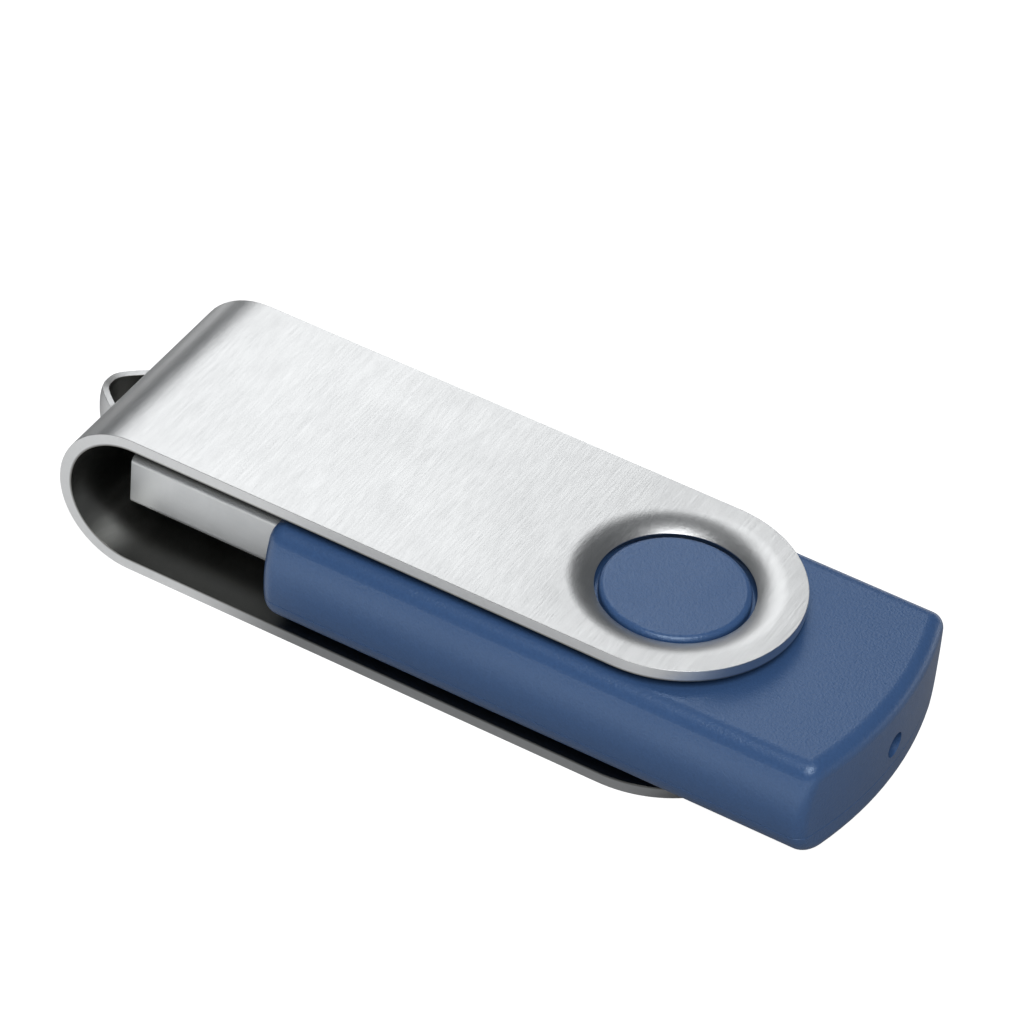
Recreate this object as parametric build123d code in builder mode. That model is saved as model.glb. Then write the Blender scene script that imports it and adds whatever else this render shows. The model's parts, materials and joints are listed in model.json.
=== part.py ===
"""Swivel-cover flash drive: a plastic-cased drive that turns inside a bent metal strip.

Frame: X along the drive with the plug towards -X, Z up through the pivot's faces, origin under
the middle of the whole object, at the height of the strip's lower outside face. Millimetres.
"""
import os
from math import hypot, sqrt
from build123d import *

os.makedirs("parts", exist_ok=True)

# ---------------------------------------------------------------- driving dimensions
# Casing
body_width = 21.8
body_thickness = 8.8
side_crown = 0.95
pivot_to_front = 28.1
pivot_to_rear = 18.4
rear_arc_radius = 33.0
shell_wall = 1.2
end_wall = 1.4
parting_height = 2.45
top_edge_round = 1.5
bottom_edge_round = 2.8
end_round = 1.2
nose_round = 1.2
parting_bevel = 0.04
inner_corner_round = 0.3
rib_thickness = 0.8
rear_rib_inset = 1.6
rear_rib_grip = 0.7
plug_rib_inset = 1.4
plug_rib_margin = 1.0
post_above_board = 1.5
lip_height = 0.8
lip_thickness = 0.5
lip_clearance = 0.05
lip_end_gap = 6.0

# Swivel cover
cover_width = 19.0
cover_sheet = 1.0
arm_gap = 0.8
plug_tip_gap = 3.0
rim_clearance = 0.1
dish_slope = 1.5
dish_soft_round = 1.8
cover_edge_round = 0.15

# Pivot bosses moulded on the casing
pivot_hole_radius = 5.85
pivot_clearance = 0.06
shoulder_height = 0.35
disc_gap = 0.3
disc_below_cover = 0.55
disc_edge_round = 0.45

# Lanyard loop, a strip of the bend freed by two slits and pushed outwards
loop_length = 5.7
loop_crest = 1.8
loop_reach = 2.35
loop_width = 3.4
loop_thickness = 0.5
loop_corner = 1.0

# Plug
plug_width = 12.0
plug_height = 4.5
plug_sheet = 0.3
plug_corner = 0.55
plug_exposed = 14.1
plug_length = 18.8
plug_floor = 1.05
plug_clearance = 0.05
plug_window = (2.4, 2.2)
plug_window_from_tip = 6.4
plug_window_pitch = 5.8
plug_seam = 0.12
plug_tab = (1.6, 1.3)

# Contacts and their carrier
tongue_thickness = 1.9
tongue_recess = 0.4
carrier_block = 4.2
carrier_side_gap = 0.3
contact_width = 1.0
contact_thickness = 0.22
contact_inset = 0.12
outer_contact_offset = 3.5
inner_contact_offset = 1.0
outer_contact_start = 1.0
inner_contact_start = 2.0
tail_drop = 0.45
tail_slope = 0.5
tail_foot = 1.3

# Circuit board and what it carries
board_thickness = 0.8
board_side_gap = 0.6
board_end_gap = 0.3
board_front_gap = 0.1
board_corner = 0.8
post_radius = 0.6
post_clearance = 0.05
post_from_board_front = 3.2
socket_wall = 0.6
controller_side = 6.0
controller_height = 0.85
controller_from_board_front = 6.6
controller_stand_off = 0.05
controller_pad = (0.35, 0.2)
controller_pad_pitch = 0.4
controller_pads_per_side = 12
memory_length = 18.4
memory_span = 20.0
memory_width = 12.0
memory_height = 1.0
memory_stand_off = 0.1
memory_gap = 1.3
memory_lead_pitch = 0.5
memory_leads_per_side = 24
lead_width = 0.22
lead_thickness = 0.14
lead_shoulder = 0.25
lead_slope = 0.15
crystal_size = (3.2, 2.5, 0.8)
regulator_size = (2.9, 1.3, 1.0)
regulator_span = 2.4
regulator_stand_off = 0.1
regulator_lead_pitch = 1.9
regulator_lead_width = 0.4
side_part_gap = 0.4
chip_part = (0.5, 1.0, 0.5)
chip_row_gap = 0.6
chip_bevel = 0.1
crystal_corner = 0.25
chip_part_round = 0.05
lamp_bevel = 0.15
outer_chip_offset = 3.4
middle_chip_offset = 4.0
lamp_resistor_offset = 3.0
led_depth = 1.4
led_width = 2.4
led_ceiling_gap = 1.5
led_edge_gap = 0.35
led_hole_radius = 1.0

# ---------------------------------------------------------------- derived places
half_width = body_width / 2
edge_half_width = half_width - side_crown
cover_half = cover_width / 2
disc_radius = pivot_hole_radius - disc_gap
dish_mouth_radius = pivot_hole_radius + dish_slope
dish_flat_radius = (dish_mouth_radius + cover_half) / 2
rim_drop = arm_gap - rim_clearance
cover_height = body_thickness + 2 * (arm_gap + cover_sheet)
bend_radius = cover_height / 2
mid_z = bend_radius
pivot_to_tip = pivot_to_front + plug_exposed
pivot_to_bend = pivot_to_tip + plug_tip_gap + cover_sheet
far_reach = max(pivot_to_rear, cover_half)
pivot_x = (pivot_to_bend + loop_reach - far_reach) / 2

underside_z = cover_sheet + arm_gap
body_top_z = underside_z + body_thickness
parting_z = underside_z + parting_height
front_x = pivot_x - pivot_to_front
rear_x = pivot_x + pivot_to_rear
tip_x = front_x - plug_exposed
bend_x = pivot_x - pivot_to_bend + bend_radius
bend_face_x = pivot_x - pivot_to_bend
disc_height = arm_gap + cover_sheet - disc_below_cover

plug_bottom_z = underside_z + plug_floor
plug_mid_z = plug_bottom_z + plug_height / 2
plug_back_x = tip_x + plug_length
tongue_bottom_z = plug_bottom_z + plug_sheet
tongue_top_z = tongue_bottom_z + tongue_thickness
board_top_z = tongue_top_z + contact_inset - tail_drop - contact_thickness
board_bottom_z = board_top_z - board_thickness
floor_z = underside_z + shell_wall
ceiling_z = body_top_z - shell_wall
inner_half = edge_half_width - shell_wall
board_half = inner_half - board_side_gap
board_front_x = plug_back_x + board_front_gap
inner_arc_radius = rear_arc_radius - end_wall
arc_centre_x = rear_x - rear_arc_radius
board_rear_x = arc_centre_x + sqrt(inner_arc_radius**2 - board_half**2) - board_end_gap
post_x = board_front_x + post_from_board_front
rear_rib_x = board_rear_x - rear_rib_inset
plug_rib_x = plug_back_x - plug_rib_inset
controller_x = board_front_x + controller_from_board_front
memory_x = controller_x + (controller_side + memory_span) / 2 + memory_gap
led_x = board_rear_x - led_edge_gap - led_depth / 2
led_height = ceiling_z - led_ceiling_gap - board_top_z
led_z = board_top_z + led_height / 2
regulator_lead_reach = (regulator_span - regulator_size[1]) / 2
contact_offsets = {
    "power": (outer_contact_offset, outer_contact_start),
    "data_minus": (inner_contact_offset, inner_contact_start),
    "data_plus": (-inner_contact_offset, inner_contact_start),
    "ground": (-outer_contact_offset, outer_contact_start),
}


# ---------------------------------------------------------------- shared forms
def rear_arc_cut(end_inset):
    """The round that cuts a casing form off at its rear end, end_inset short of the outside."""
    with BuildPart() as cut:
        with BuildSketch(Plane.XY.offset(underside_z)):
            with Locations((arc_centre_x, 0)):
                Circle(rear_arc_radius - end_inset)
        extrude(amount=body_thickness)
    return cut.part


def pivot_boss(face_z, direction):
    """A round boss standing on the casing's face at face_z, towards direction (+1 up, -1 down)."""
    with BuildPart() as boss:
        with BuildSketch(Plane.XY.offset(face_z)):
            with Locations((pivot_x, 0)):
                Circle(pivot_hole_radius - pivot_clearance)
        extrude(amount=direction * shoulder_height)
        with BuildSketch(Plane.XY.offset(face_z)):
            with Locations((pivot_x, 0)):
                Circle(disc_radius)
        extrude(amount=direction * disc_height)
        outer_face = boss.faces().sort_by(Axis.Z)[-1 if direction > 0 else 0]
        fillet(outer_face.edges(), disc_edge_round)
    return boss.part


def plug_passage(clearance):
    """The space that the plug takes inside the casing, grown by clearance."""
    with BuildPart() as passage:
        with BuildSketch(Plane.YZ.offset(front_x - plug_exposed)):
            with Locations((0, plug_mid_z)):
                RectangleRounded(plug_width + 2 * clearance, plug_height + 2 * clearance, plug_corner)
        extrude(amount=plug_length)
    return passage.part


body_length = pivot_to_front + pivot_to_rear
with BuildPart() as casing_block:
    # Flat top and underside between crowned sides
    with BuildSketch(Plane.YZ.offset(front_x)):
        with BuildLine():
            Line((-edge_half_width, underside_z), (edge_half_width, underside_z))
            ThreePointArc((edge_half_width, underside_z), (half_width, mid_z), (edge_half_width, body_top_z))
            Line((edge_half_width, body_top_z), (-edge_half_width, body_top_z))
            ThreePointArc((-edge_half_width, body_top_z), (-half_width, mid_z), (-edge_half_width, underside_z))
        make_face()
        fillet(vertices().group_by(Axis.Y)[0], bottom_edge_round)
        fillet(vertices().group_by(Axis.Y)[-1], top_edge_round)
    extrude(amount=body_length)
    add(rear_arc_cut(0), mode=Mode.INTERSECT)
    fillet(faces().filter_by(GeomType.CYLINDER).sort_by(Axis.X)[-1].edges(), end_round)
    fillet(faces().filter_by(Plane.YZ).sort_by(Axis.X)[0].edges(), nose_round)

with BuildPart() as cavity:
    with BuildSketch(Plane.YZ.offset(front_x + end_wall)):
        with Locations((0, mid_z)):
            RectangleRounded(2 * inner_half, body_thickness - 2 * shell_wall, inner_corner_round)
    extrude(amount=body_length)
    add(rear_arc_cut(end_wall), mode=Mode.INTERSECT)

boss_top = pivot_boss(body_top_z, 1)
boss_under = pivot_boss(underside_z, -1)
plug_space = plug_passage(plug_clearance)

# ---------------------------------------------------------------- casing shells
lip_start_x = front_x + lip_end_gap
lip_end_x = rear_x - lip_end_gap
lip_mid_x = (lip_start_x + lip_end_x) / 2
lip_run = lip_end_x - lip_start_x

with BuildPart() as upper_shell:
    add(casing_block.part)
    split(bisect_by=Plane.XY.offset(parting_z), keep=Keep.TOP)
    chamfer(faces().sort_by(Axis.Z)[0].edges(), parting_bevel)
    add(cavity.part, mode=Mode.SUBTRACT)
    add(boss_top)
    # Sockets that hold the board down and take the lower shell's posts
    with BuildSketch(Plane.XY.offset(board_top_z)):
        with Locations((post_x, board_half), (post_x, -board_half)):
            Circle(post_radius + post_clearance + socket_wall)
            Circle(post_radius + post_clearance, mode=Mode.SUBTRACT)
    extrude(amount=ceiling_z - board_top_z)
    # Ribs that hold the board's rear corners down
    with BuildSketch(Plane.XY.offset(board_top_z)):
        with Locations((rear_rib_x, 0)):
            Rectangle(rib_thickness, 2 * inner_half)
            Rectangle(rib_thickness, 2 * (board_half - rear_rib_grip), mode=Mode.SUBTRACT)
    extrude(amount=ceiling_z - board_top_z)
    # Rib that holds the plug down
    with Locations((plug_rib_x, 0, ceiling_z)):
        Box(rib_thickness, plug_width - 2 * plug_rib_margin, ceiling_z - plug_bottom_z - plug_height - plug_clearance,
            align=(Align.CENTER, Align.CENTER, Align.MAX))
    # Rebates for the lower shell's lips
    with Locations((lip_mid_x, inner_half, parting_z), (lip_mid_x, -inner_half, parting_z)):
        Box(lip_run + 2 * lip_clearance, 2 * (lip_thickness + lip_clearance), lip_height + lip_clearance,
            align=(Align.CENTER, Align.CENTER, Align.MIN), mode=Mode.SUBTRACT)
    add(plug_space, mode=Mode.SUBTRACT)
    # Hole for the indicator lamp
    with Locations((rear_x, 0, led_z)):
        Cylinder(led_hole_radius, 4 * end_wall, rotation=(0, 90, 0), mode=Mode.SUBTRACT)
upper_shell.part.label = "upper_shell"
export_step(upper_shell.part, "parts/upper_shell.step")

with BuildPart() as lower_shell:
    add(casing_block.part)
    split(bisect_by=Plane.XY.offset(parting_z), keep=Keep.BOTTOM)
    chamfer(faces().sort_by(Axis.Z)[-1].edges(), parting_bevel)
    add(cavity.part, mode=Mode.SUBTRACT)
    add(boss_under)
    # Lips that stand inside the upper shell's side walls
    for side in (1, -1):
        with Locations((lip_mid_x, side * inner_half, floor_z)):
            Box(lip_run, lip_thickness, parting_z + lip_height - floor_z,
                align=(Align.CENTER, Align.MIN if side > 0 else Align.MAX, Align.MIN))
    # Posts that locate the board by the notches in its sides
    with BuildSketch(Plane.XY.offset(floor_z)):
        with Locations((post_x, board_half), (post_x, -board_half)):
            Circle(post_radius)
    extrude(amount=board_top_z + post_above_board - floor_z)
    # Cross ribs that the board lies on
    for rib_x in (post_x, memory_x, rear_rib_x):
        with Locations((rib_x, 0, floor_z)):
            Box(rib_thickness, 2 * board_half, board_bottom_z - floor_z, align=(Align.CENTER, Align.CENTER, Align.MIN))
    # Cheeks beside the plug
    for side in (1, -1):
        with Locations((plug_rib_x, side * inner_half, floor_z)):
            Box(rib_thickness, inner_half - plug_width / 2 - plug_clearance, parting_z - floor_z,
                align=(Align.CENTER, Align.MAX if side > 0 else Align.MIN, Align.MIN))
    add(plug_space, mode=Mode.SUBTRACT)
lower_shell.part.label = "lower_shell"
export_step(lower_shell.part, "parts/lower_shell.step")

# ---------------------------------------------------------------- swivel cover
arm_run = pivot_x + cover_half - bend_x
with BuildPart() as drawn_dish:
    # The sheet's section round the pivot, from the flat arm down to the rim of the hole
    with BuildSketch(Plane.XZ):
        with BuildLine():
            Polyline(
                (pivot_x + pivot_hole_radius, cover_height - rim_drop),
                (pivot_x + dish_mouth_radius, cover_height),
                (pivot_x + dish_flat_radius, cover_height),
                (pivot_x + dish_flat_radius, cover_height - cover_sheet),
                (pivot_x + dish_mouth_radius, cover_height - cover_sheet),
                (pivot_x + pivot_hole_radius, cover_height - cover_sheet - rim_drop),
                close=True,
            )
        make_face()
        fillet(vertices().group_by(Axis.X)[1], dish_soft_round)
    revolve(axis=Axis((pivot_x, 0, 0), (0, 0, 1)))

with BuildPart() as swivel_cover:
    # The strip bent into a U, seen from the side
    with BuildSketch(Plane.XZ):
        with Locations((bend_x, mid_z)):
            Circle(bend_radius)
            Rectangle(arm_run, cover_height, align=(Align.MIN, Align.CENTER))
            Circle(bend_radius - cover_sheet, mode=Mode.SUBTRACT)
            Rectangle(arm_run, cover_height - 2 * cover_sheet, align=(Align.MIN, Align.CENTER),
                      mode=Mode.SUBTRACT)
    extrude(amount=cover_half, both=True)
    # Round ends about the pivot
    with BuildSketch(Plane.XY):
        with Locations((pivot_x, 0)):
            Circle(cover_half)
            Rectangle(2 * pivot_to_bend, cover_width, align=(Align.MAX, Align.CENTER))
    extrude(amount=cover_height, mode=Mode.INTERSECT)
    # Drawn dishes in both arms
    with Locations((pivot_x, 0, mid_z)):
        Cylinder(dish_flat_radius, 2 * cover_height, mode=Mode.SUBTRACT)
    add(drawn_dish.part)
    add(mirror(drawn_dish.part, about=Plane.XY.offset(mid_z), mode=Mode.PRIVATE))
    # Lanyard loop
    with BuildSketch(Plane.XY.offset(mid_z)) as loop_plan:
        with BuildLine():
            Polyline(
                (bend_face_x + cover_sheet / 2, -loop_length / 2),
                (bend_face_x, -loop_length / 2),
                (bend_face_x - loop_reach, -loop_crest / 2),
                (bend_face_x - loop_reach, loop_crest / 2),
                (bend_face_x, loop_length / 2),
                (bend_face_x + cover_sheet / 2, loop_length / 2),
                close=True,
            )
        make_face()
        fillet(vertices().sort_by(Axis.X)[:2], loop_corner)
        offset(amount=-loop_thickness, mode=Mode.SUBTRACT)
    extrude(amount=loop_width / 2, both=True)
    # Rounded edges all round the strip
    side_faces = faces().filter_by(Plane.XZ).group_by(Axis.Y)
    rim_edges = side_faces[0].edges() + side_faces[-1].edges()
    fillet(rim_edges, cover_edge_round)
    window_length = loop_length - 2 * loop_thickness * sqrt(2)
    with Locations((bend_face_x + cover_sheet, 0, mid_z)):
        Box(2 * cover_sheet, window_length, loop_width, mode=Mode.SUBTRACT)
swivel_cover.part.label = "swivel_cover"
export_step(swivel_cover.part, "parts/swivel_cover.step")

# ---------------------------------------------------------------- plug
with BuildPart() as plug_shell:
    with BuildSketch(Plane.YZ.offset(tip_x)):
        with Locations((0, plug_mid_z)):
            RectangleRounded(plug_width, plug_height, plug_corner)
            RectangleRounded(plug_width - 2 * plug_sheet, plug_height - 2 * plug_sheet,
                             plug_corner - plug_sheet, mode=Mode.SUBTRACT)
    extrude(amount=plug_length)
    # Two latch windows in each broad face
    with Locations((tip_x + plug_window_from_tip, 0, plug_mid_z)):
        with GridLocations(0, plug_window_pitch, 1, 2):
            Box(plug_window[0], plug_window[1], 2 * plug_height, mode=Mode.SUBTRACT)
    # Closed seam along the underside
    with Locations((tip_x + plug_length / 2, 0, plug_bottom_z)):
        Box(2 * plug_length, plug_seam, 3 * plug_sheet, mode=Mode.SUBTRACT)
    # Tabs soldered on the board
    for side in (1, -1):
        with Locations((plug_back_x, side * plug_width / 2, board_top_z)):
            Box(plug_tab[0], plug_sheet, plug_tab[1],
                align=(Align.MIN, Align.MAX if side > 0 else Align.MIN, Align.MIN))
plug_shell.part.label = "plug_shell"
export_step(plug_shell.part, "parts/plug_shell.step")

contact_top_z = tongue_top_z + contact_inset
contact_parts = []
for contact_name, (contact_y, start) in contact_offsets.items():
    bend_start = plug_back_x + board_front_gap
    foot_z = board_top_z + contact_thickness
    with BuildPart() as contact:
        with BuildSketch(Plane.XZ.offset(-contact_y)):
            with BuildLine():
                Polyline(
                    (tip_x + start, contact_top_z),
                    (bend_start, contact_top_z),
                    (bend_start + tail_slope, foot_z),
                    (bend_start + tail_slope + tail_foot, foot_z),
                    (bend_start + tail_slope + tail_foot, foot_z - contact_thickness),
                    (bend_start + tail_slope, foot_z - contact_thickness),
                    (bend_start, contact_top_z - contact_thickness),
                    (tip_x + start, contact_top_z - contact_thickness),
                    close=True,
                )
            make_face()
        extrude(amount=contact_width / 2, both=True)
    contact.part.label = "contact_" + contact_name
    export_step(contact.part, f"parts/contact_{contact_name}.step")
    contact_parts.append(contact.part)

with BuildPart() as contact_carrier:
    carrier_width = plug_width - 2 * (plug_sheet + carrier_side_gap)
    with Locations((tip_x + tongue_recess, 0, tongue_bottom_z)):
        Box(plug_length - tongue_recess, carrier_width, tongue_thickness,
            align=(Align.MIN, Align.CENTER, Align.MIN))
    with Locations((plug_back_x, 0, tongue_bottom_z)):
        Box(carrier_block, carrier_width, plug_height - 2 * plug_sheet,
            align=(Align.MAX, Align.CENTER, Align.MIN))
    for part in contact_parts:
        add(part, mode=Mode.SUBTRACT)
contact_carrier.part.label = "contact_carrier"
export_step(contact_carrier.part, "parts/contact_carrier.step")

# ---------------------------------------------------------------- circuit board
with BuildPart() as circuit_board:
    with BuildSketch(Plane.XY.offset(board_bottom_z)):
        with Locations((board_front_x, 0)):
            Rectangle(board_rear_x - board_front_x, 2 * board_half, align=(Align.MIN, Align.CENTER))
        chamfer(vertices().sort_by(Axis.X)[-2:], board_corner)
        with Locations((post_x, board_half), (post_x, -board_half)):
            Circle(post_radius + post_clearance, mode=Mode.SUBTRACT)
    extrude(amount=board_thickness)
circuit_board.part.label = "circuit_board"
export_step(circuit_board.part, "parts/circuit_board.step")

with BuildPart() as controller_chip:
    with Locations((controller_x, 0, board_top_z + controller_stand_off)):
        Box(controller_side, controller_side, controller_height,
            align=(Align.CENTER, Align.CENTER, Align.MIN))
    chamfer(faces().sort_by(Axis.Z)[-1].edges(), chip_bevel)
controller_chip.part.label = "controller_chip"
export_step(controller_chip.part, "parts/controller_chip.step")

with BuildPart() as controller_pads:
    with Locations((controller_x, 0, board_top_z)):
        with PolarLocations(controller_side / 2 - controller_pad[0] / 2, 4):
            with GridLocations(0, controller_pad_pitch, 1, controller_pads_per_side):
                Box(controller_pad[0], controller_pad[1], controller_stand_off,
                    align=(Align.CENTER, Align.CENTER, Align.MIN))
controller_pads.part.label = "controller_pads"
export_step(controller_pads.part, "parts/controller_pads.step")

memory_bottom_z = board_top_z + memory_stand_off
with BuildPart() as memory_chip:
    with Locations((memory_x, 0, memory_bottom_z)):
        Box(memory_length, memory_width, memory_height, align=(Align.CENTER, Align.CENTER, Align.MIN))
    chamfer(faces().sort_by(Axis.Z)[-1].edges(), chip_bevel)
memory_chip.part.label = "memory_chip"
export_step(memory_chip.part, "parts/memory_chip.step")

# Gull-wing leads along both short ends of the memory chip
lead_reach = (memory_span - memory_length) / 2
lead_out_z = memory_bottom_z + memory_height / 2
with BuildPart() as memory_leads:
    for end in (-1, 1):
        root_x = memory_x + end * memory_length / 2
        with BuildSketch(Plane.XZ) as lead_side:
            with BuildLine():
                Polyline(
                    (root_x, lead_out_z),
                    (root_x + end * lead_shoulder, lead_out_z),
                    (root_x + end * (lead_shoulder + lead_slope), board_top_z + lead_thickness),
                    (root_x + end * lead_reach, board_top_z + lead_thickness),
                    (root_x + end * lead_reach, board_top_z),
                    (root_x + end * lead_shoulder, board_top_z),
                    (root_x + end * (lead_shoulder - lead_slope), lead_out_z - lead_thickness),
                    (root_x, lead_out_z - lead_thickness),
                    close=True,
                )
            make_face()
        one_lead = extrude(lead_side.sketch, amount=lead_width / 2, both=True, mode=Mode.PRIVATE)
        with GridLocations(0, memory_lead_pitch, 1, memory_leads_per_side):
            add(one_lead)
memory_leads.part.label = "memory_leads"
export_step(memory_leads.part, "parts/memory_leads.step")

side_y = controller_side / 2 + side_part_gap
with BuildPart() as crystal:
    with Locations((controller_x, side_y, board_top_z)):
        Box(*crystal_size, align=(Align.CENTER, Align.MIN, Align.MIN))
    fillet(edges().filter_by(Axis.Z), crystal_corner)
    chamfer(faces().sort_by(Axis.Z)[-1].edges(), chip_bevel)
crystal.part.label = "crystal"
export_step(crystal.part, "parts/crystal.step")

regulator_y = -side_y - regulator_span / 2
with BuildPart() as regulator:
    with Locations((controller_x, regulator_y, board_top_z + regulator_stand_off)):
        Box(*regulator_size, align=(Align.CENTER, Align.CENTER, Align.MIN))
    chamfer(faces().sort_by(Axis.Z)[-1].edges(), chip_bevel)
regulator.part.label = "regulator"
export_step(regulator.part, "parts/regulator.step")

with BuildPart() as regulator_leads:
    for lead_x, side in ((-regulator_lead_pitch / 2, -1), (regulator_lead_pitch / 2, -1), (0, 1)):
        with Locations((controller_x + lead_x, regulator_y + side * regulator_size[1] / 2, board_top_z)):
            Box(regulator_lead_width, regulator_lead_reach, lead_thickness,
                align=(Align.CENTER, Align.MIN if side > 0 else Align.MAX, Align.MIN))
regulator_leads.part.label = "regulator_leads"
export_step(regulator_leads.part, "parts/regulator_leads.step")

# Small chip capacitors and resistors: a row ahead of the controller, a row behind it, one by the lamp
front_row_x = controller_x - controller_side / 2 - chip_row_gap
middle_row_x = controller_x + controller_side / 2 + memory_gap / 2
chip_parts = {
    "capacitor_input": (front_row_x, outer_chip_offset),
    "resistor_data_plus": (front_row_x, -inner_contact_offset),
    "resistor_data_minus": (front_row_x, inner_contact_offset),
    "capacitor_filter": (front_row_x, -outer_chip_offset),
    "capacitor_core": (middle_row_x, middle_chip_offset),
    "capacitor_memory": (middle_row_x, -middle_chip_offset),
    "resistor_pull_up": (middle_row_x, 0),
    "resistor_lamp": (led_x, -lamp_resistor_offset),
}
for chip_name, (chip_x, chip_y) in chip_parts.items():
    with BuildPart() as chip:
        with Locations((chip_x, chip_y, board_top_z)):
            Box(*chip_part, align=(Align.CENTER, Align.CENTER, Align.MIN))
        fillet(edges().filter_by(Axis.X), chip_part_round)
    chip.part.label = chip_name
    export_step(chip.part, f"parts/{chip_name}.step")

with BuildPart() as status_lamp:
    with Locations((led_x, 0, board_top_z)):
        Box(led_depth, led_width, led_height, align=(Align.CENTER, Align.CENTER, Align.MIN))
    chamfer(faces().sort_by(Axis.Z)[-1].edges().filter_by(Axis.Y), lamp_bevel)
status_lamp.part.label = "status_lamp"
export_step(status_lamp.part, "parts/status_lamp.step")

print("pivot x", round(pivot_x, 3), "plug corner reach", round(hypot(pivot_to_tip, plug_width / 2), 2),
      "board", round(board_front_x, 2), round(board_rear_x, 2), "memory end",
      round(memory_x + memory_span / 2, 2))
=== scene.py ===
# %% [markdown]
# # A swivel-cover flash drive
# A plastic-cased drive turns inside a strip of satin aluminium bent into a U. The engineering model
# already holds every piece at its real size, so this lesson loads it as a fixed frame and then makes
# the looks around it: the camera, a pale studio, the finishes, and the pieces whose surface needs more
# than an engineering mesh gives.

# %% Load the frame
import bmesh
import bpy
import json
from math import cos, pi, radians, sin, tau
from mathutils import Matrix, Vector


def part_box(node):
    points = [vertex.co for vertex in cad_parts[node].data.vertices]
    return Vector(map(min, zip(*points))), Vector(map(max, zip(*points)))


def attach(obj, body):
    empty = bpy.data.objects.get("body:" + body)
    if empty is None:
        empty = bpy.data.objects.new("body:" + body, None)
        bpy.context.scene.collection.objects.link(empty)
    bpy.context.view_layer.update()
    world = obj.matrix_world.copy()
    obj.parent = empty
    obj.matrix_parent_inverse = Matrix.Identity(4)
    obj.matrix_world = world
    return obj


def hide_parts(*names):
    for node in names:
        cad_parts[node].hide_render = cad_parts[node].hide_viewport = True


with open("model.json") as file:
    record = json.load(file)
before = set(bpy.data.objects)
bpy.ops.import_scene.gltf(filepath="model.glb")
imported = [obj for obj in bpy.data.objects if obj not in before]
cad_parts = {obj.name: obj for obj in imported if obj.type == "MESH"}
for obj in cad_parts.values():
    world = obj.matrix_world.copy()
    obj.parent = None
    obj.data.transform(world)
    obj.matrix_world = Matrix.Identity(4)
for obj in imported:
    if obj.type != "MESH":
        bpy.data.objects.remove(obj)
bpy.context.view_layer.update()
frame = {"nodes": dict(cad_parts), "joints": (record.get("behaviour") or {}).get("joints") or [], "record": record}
MM = 0.001
nodes = frame["nodes"]
pivot = Vector(frame["joints"][0]["pos_m"])
cover_low, cover_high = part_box("swivel_cover")
print("frame loaded:", len(nodes), "pieces, pivot at", [round(v / MM, 2) for v in pivot])

# %% [markdown]
# ## Camera
# A product camera stands a long way back with a long lens, so the drive's long edges stay almost
# parallel. Its place is given by the point it looks at, a distance and three angles, because those
# are what a photographer sets: how far round, how high, and how much the camera is tilted on its axis.

# %% Camera
CAMERA_DISTANCE = 339.05 * MM
CAMERA_LENS = 190.8
AZIMUTH = radians(26.47)
ELEVATION = radians(40.97)
ROLL = radians(5.6)
LOOK_AT = pivot + Vector((4.06, -35.42, 40.23)) * MM


def camera_axes(azimuth, elevation, roll):
    """Right, up and back directions of a camera that looks at a point."""
    back = Vector((sin(azimuth) * cos(elevation), -cos(azimuth) * cos(elevation), sin(elevation)))
    right = (-back).cross(Vector((0, 0, 1))).normalized()
    up = right.cross(-back)
    return cos(roll) * right + sin(roll) * up, cos(roll) * up - sin(roll) * right, back


camera_data = bpy.data.cameras.new("camera")
camera_data.lens = CAMERA_LENS
camera_data.sensor_width = 36
camera_data.clip_start = 0.01
camera = bpy.data.objects.new("camera", camera_data)
bpy.context.scene.collection.objects.link(camera)
right, up, back = camera_axes(AZIMUTH, ELEVATION, ROLL)
tripod = Matrix((right, up, back)).transposed().to_4x4()
tripod.translation = LOOK_AT + back * CAMERA_DISTANCE
camera.matrix_world = tripod
bpy.context.scene.camera = camera
print("camera at", [round(v / MM, 1) for v in camera.location], "mm")

# %% [markdown]
# ## Studio
# Satin metal shows the room more than itself. The flat sheet looks white because it mirrors a large
# soft box that stands low behind the drive, and the far side of its dish looks dark because it mirrors
# the dim ceiling. A second box stands high on the near right and lifts mainly the plastic: of the
# metal in sight, only the dish's far rim mirrors it, as a small bright spot. Point lamps would give
# hard spots, and an even dome would take the dark side away. The floor is a light table, a pale sheet
# that glows from below in two bands. The wide one behind the drive fills the near side of the dish,
# and the narrow one in front draws one soft line of light along the crowned side of the casing. A
# fainter patch beside the plug keeps the bare steel light. The rest of the sheet is masked, which
# keeps the low sides deep in tone.

# %% Helpers for nodes and objects
scene = bpy.context.scene
scene.view_settings.view_transform = "Standard"


def add_node(tree, kind, inputs=None, **settings):
    """A shader node with its settings and inputs, which are plain values or other nodes' outputs."""
    made = tree.nodes.new("ShaderNode" + kind)
    for name, value in settings.items():
        setattr(made, name, value)
    for name, value in (inputs or {}).items():
        if isinstance(value, bpy.types.NodeSocket):
            tree.links.new(value, made.inputs[name])
        else:
            made.inputs[name].default_value = value
    return made


def new_object(name, mesh, material=None):
    """A bmesh turned into a scene object, with its place kept in its mesh."""
    data = bpy.data.meshes.new(name)
    mesh.to_mesh(data)
    mesh.free()
    made = bpy.data.objects.new(name, data)
    scene.collection.objects.link(made)
    if material:
        data.materials.append(material)
    return made


print("scene shown with the", scene.view_settings.view_transform, "view transform")

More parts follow.
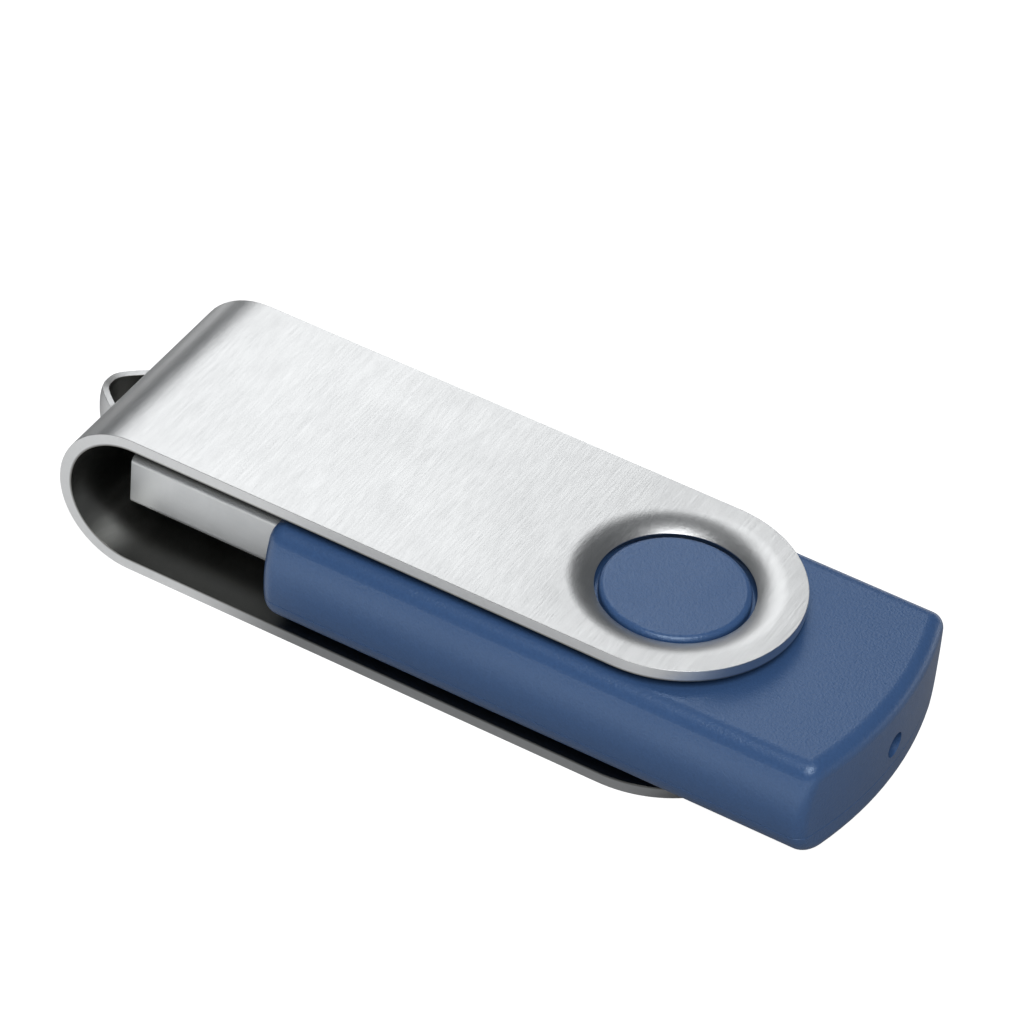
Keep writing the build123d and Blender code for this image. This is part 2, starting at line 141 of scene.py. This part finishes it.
# %% Light table: its paper
FLOOR_ALBEDO = 0.3
FLOOR_ROUGHNESS = 0.9
paper = bpy.data.materials.new("light_table")
paper.use_nodes = True
table = paper.node_tree
paper_shader = table.nodes["Principled BSDF"].inputs
paper_shader["Base Color"].default_value = (FLOOR_ALBEDO, FLOOR_ALBEDO, FLOOR_ALBEDO, 1)
paper_shader["Roughness"].default_value = FLOOR_ROUGHNESS
paper_shader["Emission Color"].default_value = (1, 1, 1, 1)
print("paper returns", FLOOR_ALBEDO, "of the light that falls on it")

# %% Light table: where it glows
GLOW_UNDER = 0.05
GLOW_BANDS = 1.05
GLOW_LEFT = 0.5
FRONT_BAND_START = (-62 * MM, -46 * MM)
FRONT_BAND_END = (-30 * MM, -19 * MM)
BACK_BAND_START = (25 * MM, 60 * MM)
PLUG_PATCH_RIGHT = (-22 * MM, -10 * MM)
PLUG_PATCH_END = (-4 * MM, 4 * MM)
TABLE_LEFT = (-170 * MM, -90 * MM)


def fade(value, stretch, low, high):
    """A value that goes smoothly from low to high across a stretch of the table."""
    return add_node(table, "MapRange", {
        "Value": value, "From Min": stretch[0], "From Max": stretch[1], "To Min": low, "To Max": high},
        interpolation_type="SMOOTHSTEP").outputs["Result"]


def combine(how, first, second):
    """Two values joined by one operation, such as MULTIPLY or MAXIMUM."""
    return add_node(table, "Math", {0: first, 1: second}, operation=how).outputs[0]


on_table = add_node(table, "SeparateXYZ", {"Vector": add_node(table, "TexCoord").outputs["Object"]}).outputs
from_front = fade(on_table["Y"], FRONT_BAND_START, 0.0, 1.0)
front_band = combine("MULTIPLY", from_front, fade(on_table["Y"], FRONT_BAND_END, 1.0, 0.0))
plug_patch = combine("MULTIPLY", fade(on_table["X"], PLUG_PATCH_RIGHT, 1.0, 0.0),
                     combine("MULTIPLY", from_front, fade(on_table["Y"], PLUG_PATCH_END, 1.0, 0.0)))
near_glow = combine("MAXIMUM", front_band, combine("MULTIPLY", plug_patch, GLOW_LEFT))
all_glow = combine("MAXIMUM", near_glow, fade(on_table["Y"], BACK_BAND_START, 0.0, 1.0))
lit = combine("MULTIPLY", all_glow, fade(on_table["X"], TABLE_LEFT, 0.0, 1.0))
print("table glows from", GLOW_UNDER, "under the drive to", GLOW_BANDS)

# %% Light table: even and white to the camera
GLOW_TO_CAMERA = 0.98
FLOOR_REACH = 1.5
masked_glow = add_node(table, "MapRange", {"Value": lit, "To Min": GLOW_UNDER, "To Max": GLOW_BANDS})
seen = add_node(table, "LightPath").outputs["Is Camera Ray"]
glow = add_node(table, "Mix", {"Factor": seen, "A": masked_glow.outputs[0], "B": GLOW_TO_CAMERA})
table.links.new(glow.outputs[0], paper_shader["Emission Strength"])
floor_mesh = bmesh.new()
bmesh.ops.create_grid(floor_mesh, x_segments=1, y_segments=1, size=FLOOR_REACH)
new_object("floor", floor_mesh, paper)
print("floor reaches", FLOOR_REACH, "m each way")

# %% Soft boxes
BOX_DISTANCE = 0.6


def soft_box(name, azimuth, elevation, width, height, radiance):
    """A rectangular area light that faces the drive, as bright to look at as radiance says."""
    data = bpy.data.lights.new(name, "AREA")
    data.shape = "RECTANGLE"
    data.size = width
    data.size_y = height
    data.energy = radiance * pi * width * height
    light = bpy.data.objects.new(name, data)
    azimuth, elevation = radians(azimuth), radians(elevation)
    direction = Vector((sin(azimuth) * cos(elevation), -cos(azimuth) * cos(elevation), sin(elevation)))
    light.location = direction * BOX_DISTANCE
    light.rotation_euler = direction.to_track_quat("Z", "Y").to_euler()
    scene.collection.objects.link(light)


soft_box("back_strip", 217, 43, 0.33, 0.42, 1.45)
soft_box("top_box", 35, 58, 0.36, 0.36, 5.5)
print("soft boxes:", [light.name for light in bpy.data.lights])

# %% The dim room around them
ROOM_TONE = (0.92, 0.96, 1, 1)
ROOM_GLOW = 0.1
room = bpy.data.worlds.new("room")
room.use_nodes = True
room_light = room.node_tree.nodes["Background"].inputs
room_light["Color"].default_value = ROOM_TONE
room_light["Strength"].default_value = ROOM_GLOW
scene.world = room
print("room glows at", ROOM_GLOW)

# %% [markdown]
# ## Shared effects
# The finishes share a few effects: moulding grain, brushing, worn edges and handling smudges. Each is
# a node group, built once with named sockets, so that one change reaches every material that uses it.
# Only masks and values leave a group. The shader itself stays in each material.


# %% Node group helper
def new_effect(name, inputs, outputs):
    """An empty node group with float or vector sockets, and its input and output nodes."""
    group = bpy.data.node_groups.new(name, "ShaderNodeTree")
    for socket, (kind, default) in inputs.items():
        made = group.interface.new_socket(name=socket, in_out="INPUT", socket_type="NodeSocket" + kind)
        if default is not None:
            made.default_value = default
    for socket in outputs:
        group.interface.new_socket(name=socket, in_out="OUTPUT", socket_type="NodeSocketFloat")
    return group, group.nodes.new("NodeGroupInput").outputs, group.nodes.new("NodeGroupOutput").inputs


print("helper ready: new_effect")

# %% Moulding grain: fine pits of a spark-eroded mould
grain_effect, taken, given = new_effect(
    "moulding_grain", {"Vector": ("Vector", None), "Pits per metre": ("Float", 6000.0)}, ["Height"])
pits = add_node(grain_effect, "TexNoise", {"Vector": taken["Vector"], "Scale": taken["Pits per metre"],
                                           "Detail": 3.0, "Roughness": 0.6})
grain_effect.links.new(pits.outputs["Fac"], given["Height"])
print("moulding grain puts out", given.keys())

# %% Brushing: long fine strokes along the Y of the vector it is given
brush_effect, taken, given = new_effect(
    "brushing", {"Vector": ("Vector", None), "Strokes per metre": ("Float", 4000.0),
                 "Stretch": ("Float", 14.0)}, ["Height", "Streaks"])
narrow = add_node(brush_effect, "Math", {0: taken["Strokes per metre"], 1: taken["Stretch"]},
                  operation="DIVIDE")
scales = add_node(brush_effect, "CombineXYZ", {"X": taken["Strokes per metre"], "Y": narrow.outputs[0],
                                               "Z": taken["Strokes per metre"]})
drawn = add_node(brush_effect, "VectorMath", {0: taken["Vector"], 1: scales.outputs[0]},
                 operation="MULTIPLY")
strokes = add_node(brush_effect, "TexNoise", {"Vector": drawn.outputs[0], "Scale": 1.0, "Detail": 4.0,
                                              "Roughness": 0.65})
bands = add_node(brush_effect, "TexNoise", {"Vector": drawn.outputs[0], "Scale": 0.22, "Detail": 2.0})
brush_effect.links.new(strokes.outputs["Fac"], given["Height"])
brush_effect.links.new(bands.outputs["Fac"], given["Streaks"])
print("brushing puts out", given.keys())

# %% Edge wear: a mask along sharp edges, broken up by noise
wear_effect, taken, given = new_effect(
    "edge_wear", {"Vector": ("Vector", None), "Radius": ("Float", 0.0002), "Amount": ("Float", 1.0)},
    ["Mask"])
rounded = add_node(wear_effect, "Bevel", {"Radius": taken["Radius"]}, samples=6)
true_normal = add_node(wear_effect, "NewGeometry")
facing = add_node(wear_effect, "VectorMath", {0: rounded.outputs[0], 1: true_normal.outputs["Normal"]},
                  operation="DOT_PRODUCT")
turned = add_node(wear_effect, "MapRange", {"Value": facing.outputs["Value"], "From Min": 0.995,
                                            "From Max": 0.85})
patches = add_node(wear_effect, "TexNoise", {"Vector": taken["Vector"], "Scale": 900.0, "Detail": 3.0})
broken = add_node(wear_effect, "MapRange", {"Value": patches.outputs["Fac"], "From Min": 0.35,
                                            "From Max": 0.7})
worn = add_node(wear_effect, "Math", {0: turned.outputs[0], 1: broken.outputs[0]}, operation="MULTIPLY")
scaled = add_node(wear_effect, "Math", {0: worn.outputs[0], 1: taken["Amount"]}, operation="MULTIPLY",
                  use_clamp=True)
wear_effect.links.new(scaled.outputs[0], given["Mask"])
print("edge wear puts out", given.keys())

# %% Handling: broad soft smudges
smudge_effect, taken, given = new_effect(
    "handling", {"Vector": ("Vector", None), "Smudges per metre": ("Float", 90.0)}, ["Value"])
smudges = add_node(smudge_effect, "TexNoise", {
    "Vector": taken["Vector"], "Scale": taken["Smudges per metre"], "Detail": 4.0, "Roughness": 0.55,
    "Distortion": 0.6})
smudge_effect.links.new(smudges.outputs["Fac"], given["Value"])
print("effects:", [group.name for group in bpy.data.node_groups])

# %% [markdown]
# ## Finishes
# Every finish starts from the same small bench: the object's own coordinates, the four effects, and a
# mix between two tones. The coordinates are the object's, not the camera's, so that the pattern stays
# on the piece when the cover turns.


# %% Finish bench
def effect(tree, group, inputs):
    """One of the shared effects placed in a material."""
    made = tree.nodes.new("ShaderNodeGroup")
    made.node_tree = group
    for name, value in inputs.items():
        if isinstance(value, bpy.types.NodeSocket):
            tree.links.new(value, made.inputs[name])
        else:
            made.inputs[name].default_value = value
    return made.outputs


def new_finish(name, metallic=0.0, specular=0.5):
    """A material with its tree, its shader and the object's coordinates."""
    material = bpy.data.materials.new(name)
    material.use_nodes = True
    tree = material.node_tree
    shader = tree.nodes["Principled BSDF"]
    shader.inputs["Metallic"].default_value = metallic
    shader.inputs["Specular IOR Level"].default_value = specular
    return material, tree, shader.inputs, add_node(tree, "TexCoord").outputs["Object"]


def ramp(tree, value, low, high, source=(0.3, 0.7)):
    """A value stretched from a source range to low and high."""
    return add_node(tree, "MapRange", {"Value": value, "From Min": source[0], "From Max": source[1],
                                       "To Min": low, "To Max": high}).outputs["Result"]


def blend_tones(tree, factor, first, second):
    """Two colours mixed by a factor."""
    mixed = tree.nodes.new("ShaderNodeMix")
    mixed.data_type = "RGBA"
    tree.links.new(factor, mixed.inputs["Factor"])
    for slot, tone in (("A", first), ("B", second)):
        socket = next(s for s in mixed.inputs if s.name == slot and s.type == "RGBA")
        if isinstance(tone, bpy.types.NodeSocket):
            tree.links.new(tone, socket)
        else:
            socket.default_value = (*tone, 1)
    return next(s for s in mixed.outputs if s.type == "RGBA")


def press(tree, shader, height, depth, strength):
    """A bump that feeds the shader's normal."""
    bump = add_node(tree, "Bump", {"Height": height, "Distance": depth, "Strength": strength})
    tree.links.new(bump.outputs[0], shader["Normal"])


def dress(slot_name, material):
    """The engineering pieces of one record slot take a material."""
    names = [entry["node"] for entry in frame["record"]["subparts"]
             if entry["material_slot"] == slot_name]
    for name in names:
        data = nodes[name].data
        if not data.materials:
            data.materials.append(material)
        for index in range(len(data.materials)):
            data.materials[index] = material
    print(slot_name, "on", ", ".join(names))


# %% [markdown]
# ### Casing plastic
# The casing is moulded ABS with the colour in the plastic, in a mould with a fine spark-eroded grain.
# Paint would chip and show another colour, so the wear here only polishes the edges lighter. A tiny
# bump gives the grain, and slow smudges change the gloss where fingers hold it.

# %% Casing plastic
CASING_BLUE = (0.05, 0.115, 0.275)
CASING_BLUE_WORN = (0.08, 0.155, 0.33)
CASING_SHEEN = (0.7, 0.85, 1, 1)
CASING_ROUGHNESS = (0.28, 0.35)
PIT_DEPTH = 0.03 * MM
casing_plastic, tree, shader, coords = new_finish("shell_plastic", specular=0.85)
shader["Specular Tint"].default_value = CASING_SHEEN
grain = effect(tree, grain_effect, {"Vector": coords, "Pits per metre": 5200.0})
wear = effect(tree, wear_effect, {"Vector": coords, "Radius": 0.00025, "Amount": 0.45})
smudge = effect(tree, smudge_effect, {"Vector": coords})
toned = blend_tones(tree, ramp(tree, grain["Height"], 0.0, 1.0), [c * 0.93 for c in CASING_BLUE],
                    [c * 1.08 for c in CASING_BLUE])
tree.links.new(blend_tones(tree, wear["Mask"], toned, CASING_BLUE_WORN), shader["Base Color"])
tree.links.new(ramp(tree, smudge["Value"], *CASING_ROUGHNESS), shader["Roughness"])
press(tree, shader, grain["Height"], PIT_DEPTH, 1.0)
dress("shell_plastic", casing_plastic)

# %% [markdown]
# ### Satin sheet
# The cover is one strip of aluminium, brushed across its width before it was bent and then anodised,
# so the strokes run across the strip, and follow it round the bend. Stretched noise gives the
# strokes. The bend shades the inside of the U and the loop's inner face, and that shade is painted in.

# %% Satin sheet: where the bend turns
SHEET = 1.0 * MM
LOOP_REACH = 2.35 * MM
mid_z = (cover_low.z + cover_high.z) / 2
bend_radius = (cover_high.z - cover_low.z) / 2
inner_radius = bend_radius - SHEET
bend_x = cover_low.x + LOOP_REACH + bend_radius
print("bend radius", round(bend_radius / MM, 2), "mm about x", round(bend_x / MM, 2))

# %% Satin sheet: brushed metal
BRUSHED_DULL = (0.68, 0.69, 0.695)
BRUSHED_BRIGHT = (0.71, 0.72, 0.725)
EDGE_BRIGHT = (0.76, 0.76, 0.76)
cover_metal, tree, shader, coords = new_finish("cover_metal", metallic=1.0)
brush = effect(tree, brush_effect, {"Vector": coords, "Strokes per metre": 7000.0, "Stretch": 16.0})
wear = effect(tree, wear_effect, {"Vector": coords, "Radius": 0.00015, "Amount": 0.5})
smudge = effect(tree, smudge_effect, {"Vector": coords, "Smudges per metre": 60.0})
brushed = blend_tones(tree, ramp(tree, brush["Streaks"], 0.0, 1.0), BRUSHED_DULL, BRUSHED_BRIGHT)
edged = blend_tones(tree, wear["Mask"], brushed, EDGE_BRIGHT)
print("brushed metal mixed from", BRUSHED_DULL, "and", BRUSHED_BRIGHT)

# %% Satin sheet: where painted shade goes inside the U
# How deep a point lies inside the U: its distance from the line that the bend turns about
INSIDE_FADE = (0.05 * MM, 0.2 * MM)
spot = add_node(tree, "SeparateXYZ", {"Vector": coords}).outputs
past_line = add_node(tree, "Math", {0: spot["X"], 1: bend_x}, operation="SUBTRACT").outputs[0]
left_of = add_node(tree, "Math", {0: past_line, 1: 0.0}, operation="MINIMUM").outputs[0]
above = add_node(tree, "Math", {0: spot["Z"], 1: mid_z}, operation="SUBTRACT").outputs[0]
from_line = add_node(tree, "CombineXYZ", {"X": left_of, "Y": above}).outputs[0]
reach = add_node(tree, "VectorMath", {0: from_line}, operation="LENGTH").outputs["Value"]
inside = ramp(tree, reach, 1.0, 0.0, (inner_radius + INSIDE_FADE[0], inner_radius + INSIDE_FADE[1]))
print("inside of the U lies within", round(inner_radius / MM, 2), "mm of that line")

# %% Satin sheet: painted shade on the inner face of the loop, and the finish
# The loop lies outside the bend, and its inner face looks towards the drive
# Painted shade: a dark colour put inside the U and on the loop's inner face instead of the brushed tones
PAINTED_SHADE_TONE = (0.19, 0.19, 0.18)
LOOP_FADE = (0.02 * MM, 0.2 * MM)
SATIN_ROUGHNESS = (0.3, 0.38)
STROKE_DEPTH = 0.02 * MM
facing_drive = add_node(tree, "SeparateXYZ", {"Vector": add_node(tree, "TexCoord").outputs["Normal"]})
outside_bend = ramp(tree, reach, 0.0, 1.0, (bend_radius + LOOP_FADE[0], bend_radius + LOOP_FADE[1]))
# Mask of the painted shade: the loop's inner face plus the inside of the U
painted_shade_mask = add_node(tree, "Math", {
    0: ramp(tree, facing_drive.outputs["X"], 0.0, 1.0, (0.1, 0.3)), 1: outside_bend, 2: inside},
    operation="MULTIPLY_ADD", use_clamp=True).outputs[0]
# The painted shade replaces the brushed colour wherever that mask is set
tree.links.new(blend_tones(tree, painted_shade_mask, edged, PAINTED_SHADE_TONE), shader["Base Color"])
gloss = add_node(tree, "Math", {0: ramp(tree, brush["Height"], *SATIN_ROUGHNESS),
                                1: ramp(tree, smudge["Value"], -0.02, 0.03)}, operation="ADD")
tree.links.new(gloss.outputs[0], shader["Roughness"])
press(tree, shader, brush["Height"], STROKE_DEPTH, 0.5)
dress("cover_metal", cover_metal)

# %% [markdown]
# ## The swivel cover
# The real cover is one blank of sheet: punched, dished round its two holes, slit for the lanyard loop,
# and folded. It could be cut from a solid U, but then every face of the sheet has to be kept parallel
# by hand. It is easier to make it as what it is. One surface without thickness starts as rings about
# the pivot, grows along the arm, and spins round the bend. The sheet gets its thickness last, and a
# small bevel takes the sharpness off its cut edges.

# %% Cover: the dish, ring by ring
RING_STEPS = 128
HOLE_RADIUS = 5.85 * MM
DISH_RADIUS = 8.1 * MM
DISH_DROP = 0.7 * MM
DISH_RINGS = 10
top_z = cover_high.z
half_strip = (cover_high.y - cover_low.y) / 2
to_pivot = Matrix.Translation((-pivot.x, 0, 0))


def parts_of(result, kind):
    """The vertices, edges or faces in an operator's result."""
    return [part for part in result["geom"] if isinstance(part, kind)]


def grow(mesh, edges):
    """Extrudes edges and returns the new vertices and the new edges."""
    result = bmesh.ops.extrude_edge_only(mesh, edges=edges)
    return parts_of(result, bmesh.types.BMVert), parts_of(result, bmesh.types.BMEdge)


sheet = bmesh.new()
bmesh.ops.create_circle(sheet, segments=RING_STEPS, radius=HOLE_RADIUS,
                        matrix=Matrix.Translation((pivot.x, 0, top_z - DISH_DROP)))
ring = sheet.edges[:]
radius, height = HOLE_RADIUS, top_z - DISH_DROP
for step in range(1, DISH_RINGS + 1):
    share = step / DISH_RINGS
    next_radius = HOLE_RADIUS + (DISH_RADIUS - HOLE_RADIUS) * share
    next_height = top_z - DISH_DROP * (1 - share) ** 2
    verts, ring = grow(sheet, ring)
    bmesh.ops.scale(sheet, vec=(next_radius / radius, next_radius / radius, 1), space=to_pivot, verts=verts)
    bmesh.ops.translate(sheet, vec=(0, 0, next_height - height), verts=verts)
    radius, height = next_radius, next_height
verts, ring = grow(sheet, ring)
bmesh.ops.scale(sheet, vec=(half_strip / radius, half_strip / radius, 1), space=to_pivot, verts=verts)
print("dish of", DISH_RINGS, "rings,", len(sheet.faces), "faces")

# %% Cover: from the round end to the straight strip, and half of the bend
BEND_STEPS = 17
line_x = pivot.x - half_strip
side_step = cos(tau / RING_STEPS)
for vert in verts:
    if vert.co.x < pivot.x - 0.01 * MM:
        vert.co.x = line_x
        vert.co.y /= side_step
line = [edge for edge in ring if all(vert.co.x < line_x + 0.01 * MM for vert in edge.verts)]
verts, line = grow(sheet, line)
bmesh.ops.translate(sheet, vec=(bend_x - line_x, 0, 0), verts=verts)
bmesh.ops.spin(sheet, geom=verts + line, cent=(bend_x, 0, mid_z), axis=(0, -1, 0), angle=pi / 2,
               steps=BEND_STEPS, dvec=(0, 0, 0))
print("strip", round(2 * half_strip / MM, 2), "mm wide, half bend added:", len(sheet.faces), "faces")

# %% Cover: the window of the loop, and the other half
LOOP_ROWS = 3
LOOP_HALF = 2.85 * MM
loop_rise = bend_radius * sin(pi / 2 * LOOP_ROWS / BEND_STEPS)
for side in (-1, 1):
    bend_faces = [face for face in sheet.faces if face.calc_center_median().x < bend_x]
    cut = list({part for face in bend_faces for part in (*face.verts, *face.edges)}) + bend_faces
    bmesh.ops.bisect_plane(sheet, geom=cut, dist=1e-7, plane_co=(0, side * LOOP_HALF, 0), plane_no=(0, 1, 0))
window = [face for face in sheet.faces if face.calc_center_median().x < bend_x
          and abs(face.calc_center_median().y) < LOOP_HALF
          and face.calc_center_median().z < mid_z + loop_rise]
bmesh.ops.delete(sheet, geom=window, context="FACES")
copy = bmesh.ops.duplicate(sheet, geom=sheet.verts[:] + sheet.edges[:] + sheet.faces[:])
bmesh.ops.scale(sheet, vec=(1, 1, -1), space=Matrix.Translation((0, 0, -mid_z)),
                verts=parts_of(copy, bmesh.types.BMVert))
bmesh.ops.reverse_faces(sheet, faces=parts_of(copy, bmesh.types.BMFace))
bmesh.ops.remove_doubles(sheet, verts=sheet.verts[:], dist=0.001 * MM)
print("loop window", round(2 * loop_rise / MM, 2), "mm wide,", len(sheet.faces), "faces")

# %% Cover: the freed strip, pushed out as a loop
LOOP_PATH = ((-0.22, -2.72), (-0.62, -2.42), (-1.1, -2.02), (-1.56, -1.62), (-1.95, -1.22), (-2.22, -0.8),
             (-2.33, -0.4), (-2.35, 0.0))
foot = [edge for edge in sheet.edges if edge.is_boundary
        and all(abs(vert.co.y + LOOP_HALF) < 0.01 * MM and vert.co.x < bend_x
                and abs(vert.co.z - mid_z) < loop_rise + 0.01 * MM for vert in edge.verts)]
path = [Vector((x, y + LOOP_HALF / MM, 0)) * MM for x, y in LOOP_PATH]
path += [Vector((point.x, 2 * LOOP_HALF - point.y, 0)) for point in reversed(path[:-1])]
path.append(Vector((0, 2 * LOOP_HALF, 0)))
before, band = Vector((0, 0, 0)), []
for point in path:
    verts, foot = grow(sheet, foot)
    bmesh.ops.translate(sheet, vec=point - before, verts=verts)
    before = point
    band += verts if point is not path[-1] else []
bmesh.ops.remove_doubles(sheet, verts=sheet.verts[:], dist=0.001 * MM)
bmesh.ops.recalc_face_normals(sheet, faces=sheet.faces[:])
if max(sheet.faces, key=lambda face: face.calc_center_median().z).normal.z < 0:
    bmesh.ops.reverse_faces(sheet, faces=sheet.faces[:])
print("loop of", len(path), "steps, open edges", sum(edge.is_boundary for edge in sheet.edges))

# %% Cover: thickness and edges
LOOP_SHEET_SHARE = 0.5
for face in sheet.faces:
    face.smooth = True
sheet.verts.index_update()
band_index = [vert.index for vert in band if vert.is_valid]
cover_sheet = new_object("cover_sheet", sheet, cover_metal)
thick = cover_sheet.vertex_groups.new(name="thickness")
thick.add(range(len(cover_sheet.data.vertices)), 1.0, "REPLACE")
thick.add(band_index, LOOP_SHEET_SHARE, "REPLACE")
solid = cover_sheet.modifiers.new("thickness", "SOLIDIFY")
solid.thickness = SHEET
solid.offset = -1
solid.use_even_offset = True
solid.vertex_group = "thickness"
edges = cover_sheet.modifiers.new("edges", "BEVEL")
edges.width = 0.16 * MM
edges.segments = 3
edges.limit_method = "ANGLE"
edges.angle_limit = radians(50)
edges.harden_normals = True
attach(cover_sheet, "cover")
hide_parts("swivel_cover")
print("cover:", len(cover_sheet.data.polygons), "faces before its thickness")

# %% [markdown]
# ### Plug steel
# The plug is folded from thin tinned steel. Rolled sheet keeps a faint grain along its length, and the
# tin is a little duller than polished metal.

# %% Plug steel
TIN_DULL = (0.8, 0.82, 0.83)
TIN_BRIGHT = (0.88, 0.9, 0.91)
plug_metal, tree, shader, coords = new_finish("plug_metal", metallic=0.85)
rolled = add_node(tree, "Mapping", {"Vector": coords, "Rotation": (0, 0, pi / 2)}).outputs[0]
brush = effect(tree, brush_effect, {"Vector": rolled, "Strokes per metre": 3500.0, "Stretch": 6.0})
smudge = effect(tree, smudge_effect, {"Vector": coords, "Smudges per metre": 300.0})
tree.links.new(blend_tones(tree, ramp(tree, smudge["Value"], 0.0, 1.0), TIN_DULL, TIN_BRIGHT),
               shader["Base Color"])
tree.links.new(ramp(tree, brush["Height"], 0.4, 0.5), shader["Roughness"])
press(tree, shader, brush["Height"], 0.02 * MM, 0.4)
dress("plug_metal", plug_metal)

# %% [markdown]
# ### Inside the plug and the casing
# The small pieces are hardly seen when the cover is closed, but a reader who turns the cover, or looks
# into the plug, meets them: black carrier, gilt contacts, green board and its chips. One short loop
# dresses the plain ones, because they differ only in colour, gloss and grain.

# %% Small finishes
# Each one's colour, roughness, metallic share and pits per metre
small_finishes = {
    "carrier_plastic": ((0.03, 0.03, 0.034), 0.45, 0.0, 5000.0),
    "contact_plating": ((0.83, 0.62, 0.25), 0.28, 1.0, 2500.0),
    "chip_resin": ((0.028, 0.028, 0.03), 0.55, 0.0, 7000.0),
    "tinned_lead": ((0.72, 0.73, 0.74), 0.34, 1.0, 3000.0),
    "crystal_can": ((0.72, 0.71, 0.68), 0.3, 1.0, 2500.0),
    "capacitor_ceramic": ((0.5, 0.36, 0.22), 0.5, 0.0, 6000.0),
    "resistor_ceramic": ((0.05, 0.05, 0.06), 0.3, 0.0, 5000.0),
}
for slot_name, (colour, roughness, metallic, pits) in small_finishes.items():
    material, tree, shader, coords = new_finish(slot_name, metallic=metallic)
    grain = effect(tree, grain_effect, {"Vector": coords, "Pits per metre": pits})
    wear = effect(tree, wear_effect, {"Vector": coords, "Radius": 0.0001, "Amount": 0.5})
    toned = blend_tones(tree, ramp(tree, grain["Height"], 0.0, 1.0), [c * 0.85 for c in colour],
                        [min(c * 1.12, 0.95) for c in colour])
    tree.links.new(blend_tones(tree, wear["Mask"], toned, [min(c * 1.5 + 0.03, 0.95) for c in colour]),
                   shader["Base Color"])
    tree.links.new(ramp(tree, grain["Height"], roughness - 0.06, roughness + 0.08), shader["Roughness"])
    press(tree, shader, grain["Height"], 0.01 * MM, 0.5)
    dress(slot_name, material)

# %% Board laminate: solder mask over copper tracks
SOLDER_MASK_DEEP = (0.012, 0.1, 0.055)
SOLDER_MASK_PALE = (0.02, 0.16, 0.085)
OVER_COPPER = (0.05, 0.27, 0.13)
board_laminate, tree, shader, coords = new_finish("board_laminate", specular=0.6)
tracks = add_node(tree, "TexBrick", {"Vector": coords, "Scale": 260.0, "Mortar Size": 0.012, "Bias": 0.0,
                                     "Brick Width": 0.7, "Row Height": 0.12})
grain = effect(tree, grain_effect, {"Vector": coords, "Pits per metre": 3500.0})
solder_mask = blend_tones(tree, ramp(tree, grain["Height"], 0.0, 1.0), SOLDER_MASK_DEEP, SOLDER_MASK_PALE)
tree.links.new(blend_tones(tree, tracks.outputs["Fac"], solder_mask, OVER_COPPER), shader["Base Color"])
tree.links.new(ramp(tree, grain["Height"], 0.25, 0.4), shader["Roughness"])
press(tree, shader, tracks.outputs["Fac"], 0.03 * MM, 0.6)
dress("board_laminate", board_laminate)

# %% Lamp lens: clear resin over a pale chip
RESIN_DEEP = (0.62, 0.68, 0.72)
RESIN_PALE = (0.82, 0.86, 0.9)
lamp_lens, tree, shader, coords = new_finish("lamp_lens", specular=0.6)
grain = effect(tree, grain_effect, {"Vector": coords, "Pits per metre": 1500.0})
tree.links.new(blend_tones(tree, ramp(tree, grain["Height"], 0.0, 1.0), RESIN_DEEP, RESIN_PALE),
               shader["Base Color"])
tree.links.new(ramp(tree, grain["Height"], 0.1, 0.22), shader["Roughness"])
dress("lamp_lens", lamp_lens)
